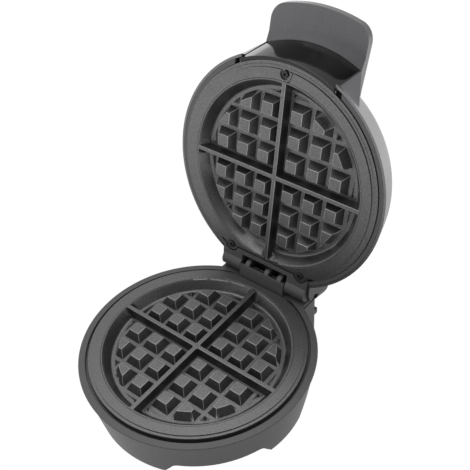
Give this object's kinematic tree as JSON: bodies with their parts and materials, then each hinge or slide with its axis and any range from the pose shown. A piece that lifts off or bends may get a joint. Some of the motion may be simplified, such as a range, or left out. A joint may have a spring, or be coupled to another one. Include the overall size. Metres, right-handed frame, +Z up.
{
  "type": "round waffle maker",
  "caption": "Countertop round waffle maker with a hinged domed lid, two pegged plates in quarters, brim-shaped handle and pinned rear hinge, shown open.",
  "frame": {"origin": "on the table, in the plane of the feet, under the middle of the open maker; the middle of the plates is 48 mm nearer the handle side", "axes": "+Z up, +Y towards the hinge, +X to the right seen from the handle side"},
  "size_m": [0.2346, 0.3311, 0.3163],
  "materials": {
    "housing_plastic": "satin",
    "frame_plastic": "gloss",
    "handle_gloss": "gloss",
    "plate_coating": "non-stick coating on cast aluminium",
    "screw_steel": "zinc plated",
    "element_steel": "heat darkened",
    "reflector_sheet": "bright sheet",
    "spring_steel": "plain",
    "fuse_metal": "plain",
    "ceramic_body": "ceramic",
    "black_plastic": "moulded",
    "terminal_brass": "plain",
    "pad_rubber": "matte",
    "red_lens": "clear tinted",
    "green_lens": "clear tinted",
    "lamp_glass": "clear"
  },
  "bodies": {
    "base": {"base_frame": "frame_plastic", "base_housing": "housing_plastic", "bottom_cover": "housing_plastic", "bracket_screws": "screw_steel", "clamp_screws": "screw_steel", "cord_clamp": "black_plastic", "cord_gland": "pad_rubber", "cover_screws": "screw_steel", "foot_pads": "pad_rubber", "frame_screws": "screw_steel", "hinge_pin": "screw_steel", "lower_element": "element_steel", "lower_fuse": "fuse_metal", "lower_fuse_clip": "spring_steel", "lower_plate": "plate_coating", "lower_reflector": "reflector_sheet", "lower_reflector_screws": "screw_steel", "terminal_block": "black_plastic", "terminal_screws": "terminal_brass", "thermostat": "ceramic_body", "thermostat_bracket": "spring_steel"},
    "lid": {"lid_shell": "housing_plastic", "lid_frame": "frame_plastic", "upper_plate": "plate_coating", "upper_plate_screws": "screw_steel", "handle_insert": "handle_gloss", "insert_screws": "screw_steel", "shell_screws": "screw_steel", "upper_element": "element_steel", "upper_reflector": "reflector_sheet", "upper_reflector_screws": "screw_steel", "upper_fuse": "fuse_metal", "upper_fuse_clip": "spring_steel", "power_lens": "red_lens", "ready_lens": "green_lens", "pilot_lamps": "lamp_glass", "lamp_holder": "black_plastic", "holder_screws": "screw_steel"}
  },
  "joints": [
    {"name": "lid_hinge", "type": "hinge", "parent": "base", "child": "lid", "pos_m": [0, 0.06581, 0.0656], "axis": [1, 0, 0], "range_deg": [0, 101.5]}
  ]
}
